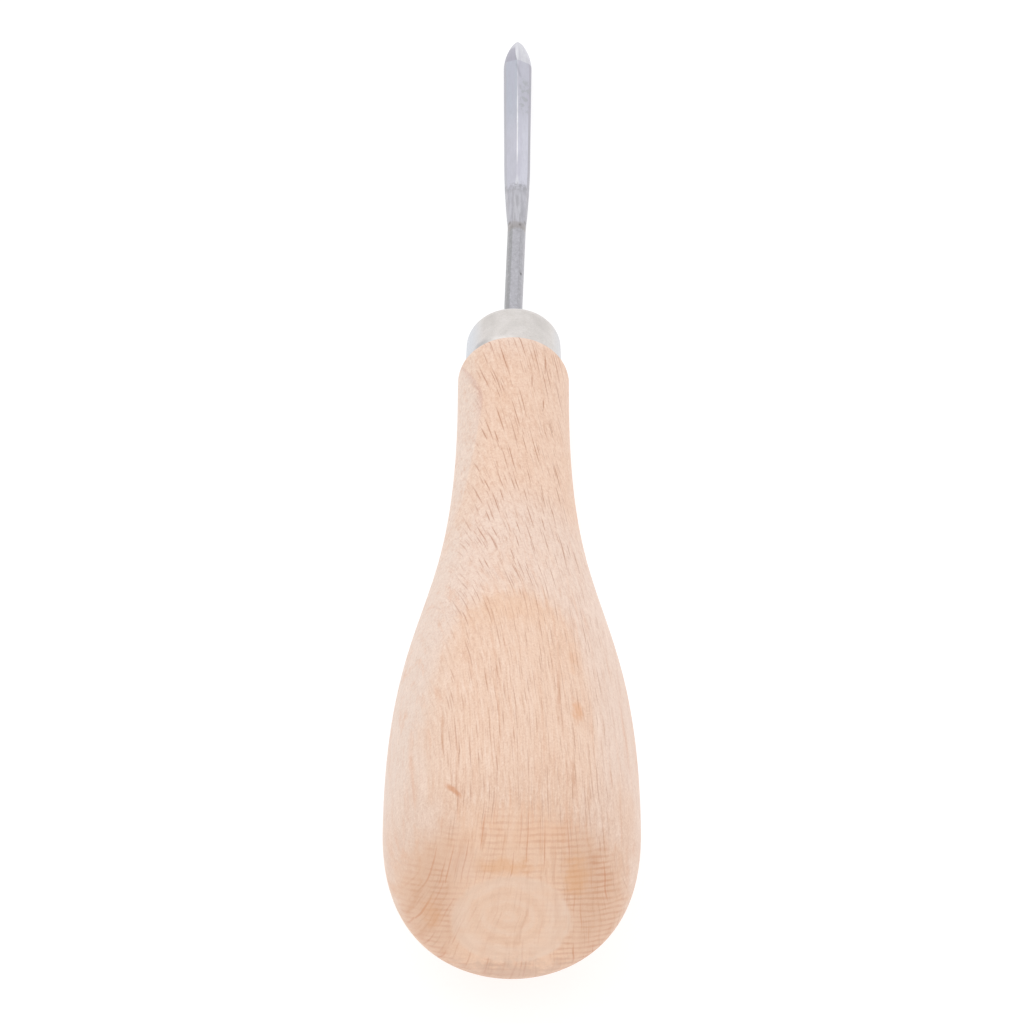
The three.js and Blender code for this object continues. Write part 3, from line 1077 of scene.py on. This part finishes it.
def steel_fields(g):
    """Places in mm, directions and noises that the blade's steel is made from."""
    b = Fields()
    b.mm = g.local_mm()
    b.across, along = g.split(b.mm)[:2]
    b.back = g.minus(TOTAL_LENGTH - FACE_MARK_SHIFT, along)
    b.lean = g.split(g.local_normal())[0]
    b.grind = g.noise(b.mm, *GRIND)
    b.cloud = g.noise(b.mm, *CLOUD)
    b.spots = g.noise(b.mm, *SPOTS)
    b.ragged = g.wander(1.0, b.mm, 1.3, 3.0, 0.6)
    return b


def painted_face_reflections(g, b):
    """Painted reflections: each face coloured by its lean, from the point back to the shank, with a
    painted glint along the ridge.
    """
    near_tip = by_lean(g, b.lean, NEAR_TIP_PAINTED_REFLECTIONS)
    colour = g.mix(g.step(12.0, 22.0, b.back), near_tip, by_lean(g, b.lean, MID_BLADE_PAINTED_REFLECTIONS))
    # Painted highlight: a bright glint along the ridge, stronger on some stretches.
    ridge = g.step(0.16, 0.08, g.math("ABSOLUTE", b.lean))
    painted_ridge_glint = g.sum(
        g.step(8.5, 15.0, g.sum(b.back, b.ragged)),
        g.step(25.5, 27.5, b.back, 0.0, -1.0),
        g.times(between(g, b.back, *FIRST_GLINT), 0.35),
        g.times(between(g, b.back, *SECOND_GLINT), 0.3),
    )
    colour = g.tint(colour, g.times(ridge, painted_ridge_glint, 0.9), STEEL["ridge"])
    on_shank = g.step(39.6, 40.6, g.sum(b.back, b.ragged))
    colour = g.mix(on_shank, colour, by_lean(g, b.lean, SHANK_PAINTED_REFLECTIONS))
    tip_end = g.sum(4.1, g.times(b.across, 0.14))
    on_tip = g.step(0.12, -0.12, g.minus(b.back, tip_end))
    return g.mix(on_tip, colour, by_lean(g, b.lean, TIP_PAINTED_REFLECTIONS))


def scratched_and_shaded(g, b, colour):
    """Fine marks all along: clouding, grinding lines, and the shank's rougher grain; then painted
    shade on the shank just ahead of the ferrule.
    """
    colour = g.tint(colour, g.times(g.step(0.4, 0.75, b.cloud), 0.22), STEEL["cloud"])
    colour = g.tint(colour, g.times(g.step(0.45, 0.7, b.grind), 0.2), STEEL["grind"])
    grains = g.noise(b.mm, *GRAINS)
    grainy = g.step(29.0, 33.0, b.back, 0.06, 0.42)
    colour = g.two_tone(
        colour, grains, grainy, (1.0, STEEL["grain_dark"]), (1.0, STEEL["grain_pale"]),
        ends=(0.7, 0.3),
    )
    ground = g.step(0.45, 0.65, g.noise(b.mm, *GROUND_LINES))
    colour = g.tint(colour, g.times(ground, g.step(31.0, 29.0, b.back, 0.0, 0.3)), STEEL["ground"])
    # Painted shade: a darker ring on the shank where it meets the ferrule.
    return g.tint(colour, g.times(g.step(58.2, 59.4, b.back), 0.35), STEEL["painted_ferrule_shade"])


def point_marked(g, b, colour):
    """A stain on the right face, the bright apex, and a dark streak behind the point."""
    right_face = g.step(0.3, 1.0, b.across)
    stain = g.times(between(g, b.back, *RIGHT_STAIN), right_face, g.step(0.48, 0.6, b.spots))
    colour = g.tint(colour, g.times(stain, 0.45), STEEL["stain"])
    colour = g.tint(colour, g.times(g.step(1.2, 0.2, b.back), 0.7), STEEL["apex"])
    streak_middle = g.sum(0.2, g.times(g.minus(b.back, 4.8), 0.2))
    streak_side = between(g, g.minus(b.across, streak_middle), -0.16, 0.16, 0.14)
    streak = g.times(between(g, b.back, *POINT_STREAK), streak_side)
    return g.tint(colour, g.times(streak, 0.4), STEEL["streak"])


def shoulder_marked(g, b, colour):
    """Where the ground blade runs out into the shank: mottled, then dull and drawn."""
    mottled = g.times(between(g, b.back, *MOTTLED), g.step(0.4, 0.6, b.spots))
    colour = g.tint(colour, g.times(mottled, 0.75), STEEL["mottled"])
    dull = between(g, b.back, *DULL)
    drawn = g.noise(b.mm, *DRAWN)
    colour = g.tint(colour, g.times(dull, 0.7), STEEL["dull"])
    colour = g.tint(colour, g.times(dull, g.step(0.45, 0.65, drawn), 0.5), STEEL["drawn_dark"])
    colour = g.tint(colour, g.times(dull, g.step(0.5, 0.3, drawn), 0.45), STEEL["drawn_pale"])
    band = between(g, g.sum(b.back, b.ragged), *SHOULDER_BAND)
    return g.tint(colour, g.times(band, 0.5), STEEL["band"])


def pitted(g, b, colour):
    for across, back, up in PITS:
        pit = blot(g, b.mm, (across, TOTAL_LENGTH - back, up), PIT_SIZE, g.times(b.ragged, 0.6))
        colour = g.tint(colour, g.times(pit, 0.7), STEEL["pit"])
    across, back, up = NICK
    nick = blot(g, b.mm, (across, TOTAL_LENGTH - back, up), NICK_SIZE, b.ragged)
    return g.tint(colour, g.times(nick, 0.85), STEEL["nick"])


def blade_steel():
    g = Graph("blade_steel")
    b = steel_fields(g)
    colour = painted_face_reflections(g, b)
    colour = scratched_and_shaded(g, b, colour)
    colour = point_marked(g, b, colour)
    colour = shoulder_marked(g, b, colour)
    colour = pitted(g, b, colour)
    grit = g.noise(b.mm, 5.0, 3.0, 0.7)
    relief = g.sum(g.times(b.grind, 0.4), g.times(b.spots, 0.4), g.times(grit, 0.3))
    return g.surface(
        Base_Color=colour,
        Metallic=1.0,
        Roughness=g.sum(0.27, g.times(b.cloud, 0.16)),
        Normal=g.bump(relief, 0.01 * MM, 0.5),
    )


# ---------------------------------------------------------------- studio

FLOOR_HALF_SIZE = 3.0
FLOOR_DARK = (0.4, 0.4, 0.4, 1.0)
FLOOR_PALE = (0.42, 0.42, 0.42, 1.0)
FLOOR_GLOW = 0.69
WHITE = (1.0, 1.0, 1.0, 1.0)

# The surroundings brighten towards this direction: how far along it the change runs, and the
# strength at each end.
SKY_DIRECTION = (-0.1, 0.8, 0.6)
SKY_RANGE = (-0.9, 0.7)
SKY_STRENGTH = (0.66, 1.0)

# Lights: name, place, power. Each is a disk that faces the origin.
LIGHTS = (
    ("key", (-0.4, 0.35, 1.1), 1.2),
    ("fill", (0.5, -0.2, 0.9), 0.25),
)
LIGHT_SIZE = 0.9

# The camera looks at a station on the awl's axis from behind and above the butt.
CAMERA_FOCAL_MM = 281.25
CAMERA_SENSOR_MM = 36.0
CAMERA_DISTANCE = 1.048
CAMERA_AIM_STATION = 75.5
CAMERA_TILT_DEG = 47.955      # between the line of sight and square to the awl's axis
CAMERA_ROLL_DEG = 0.22
CAMERA_SIDE_MM = -0.13


def floor_material():
    g = Graph("studio_floor")
    grain = g.noise(g.node("ShaderNodeTexCoord").outputs["Object"], 60.0, 2.0)
    return g.surface(
        Base_Color=g.mix(grain, FLOOR_DARK, FLOOR_PALE),
        Roughness=0.9,
        Specular_IOR_Level=0.1,
        Emission_Color=WHITE,
        Emission_Strength=FLOOR_GLOW,
    )


def make_floor():
    size = FLOOR_HALF_SIZE
    mesh = bpy.data.meshes.new("floor")
    corners = [(-size, -size, 0), (size, -size, 0), (size, size, 0), (-size, size, 0)]
    mesh.from_pydata(corners, [], [(0, 1, 2, 3)])
    floor = bpy.data.objects.new("floor", mesh)
    bpy.context.scene.collection.objects.link(floor)
    mesh.materials.append(floor_material())


def make_world():
    """White studio surroundings, dimmer low down behind the butt."""
    world = bpy.data.worlds.new("studio")
    bpy.context.scene.world = world
    world.use_nodes = True
    tree = world.node_tree
    tree.nodes.clear()
    direction = tree.nodes.new("ShaderNodeTexCoord")
    dot = tree.nodes.new("ShaderNodeVectorMath")
    ramp = tree.nodes.new("ShaderNodeMapRange")
    background = tree.nodes.new("ShaderNodeBackground")
    output = tree.nodes.new("ShaderNodeOutputWorld")
    dot.operation = "DOT_PRODUCT"
    dot.inputs[1].default_value = SKY_DIRECTION
    tree.links.new(direction.outputs["Generated"], dot.inputs[0])
    tree.links.new(dot.outputs["Value"], ramp.inputs[0])
    ramp.interpolation_type = "SMOOTHSTEP"
    ramp.inputs["From Min"].default_value, ramp.inputs["From Max"].default_value = SKY_RANGE
    ramp.inputs["To Min"].default_value, ramp.inputs["To Max"].default_value = SKY_STRENGTH
    tree.links.new(ramp.outputs[0], background.inputs["Strength"])
    background.inputs["Color"].default_value = WHITE
    tree.links.new(background.outputs[0], output.inputs[0])


def area_light(name, place, power):
    data = bpy.data.lights.new(name, "AREA")
    data.shape = "DISK"
    data.size = LIGHT_SIZE
    data.energy = power
    light = bpy.data.objects.new(name, data)
    light.location = place
    light.rotation_euler = (-Vector(place)).to_track_quat("-Z", "Y").to_euler()
    bpy.context.scene.collection.objects.link(light)


def make_camera():
    tilt = math.radians(CAMERA_TILT_DEG)
    turn = PLACEMENT.to_3x3()
    aim = PLACEMENT @ Vector((CAMERA_SIDE_MM * MM, CAMERA_AIM_STATION * MM, 0))
    towards = turn @ Vector((0, -math.sin(tilt), math.cos(tilt)))
    image_up = turn @ Vector((0, math.cos(tilt), math.sin(tilt)))
    right = image_up.cross(towards)
    basis = Matrix((right, image_up, towards)).transposed()
    roll = Matrix.Rotation(math.radians(CAMERA_ROLL_DEG), 3, "Z")
    data = bpy.data.cameras.new("camera")
    data.lens = CAMERA_FOCAL_MM
    data.sensor_width = CAMERA_SENSOR_MM
    data.clip_start = 0.05
    data.clip_end = 20.0
    camera = bpy.data.objects.new("camera", data)
    place = Matrix.Translation(aim + towards * CAMERA_DISTANCE)
    camera.matrix_world = place @ (basis @ roll).to_4x4()
    bpy.context.scene.collection.objects.link(camera)
    bpy.context.scene.camera = camera


# ---------------------------------------------------------------- assembly

finish_mesh(
    "awl_handle", *lathe(handle_profile(), HANDLE_SEGMENTS),
    "root", "handle", "handle_wood", beech(),
)
finish_mesh(
    "awl_ferrule", *lathe(ferrule_profile(), FERRULE_SEGMENTS, closed=True),
    "root", "ferrule", "ferrule_metal", ferrule_metal(),
)
finish_mesh("awl_blade", *blade_mesh(), "root", "blade", "blade_steel", blade_steel(), sharp_deg=12)
make_floor()
make_world()
for light_settings in LIGHTS:
    area_light(*light_settings)
make_camera()
bpy.context.scene.view_settings.view_transform = "Standard"
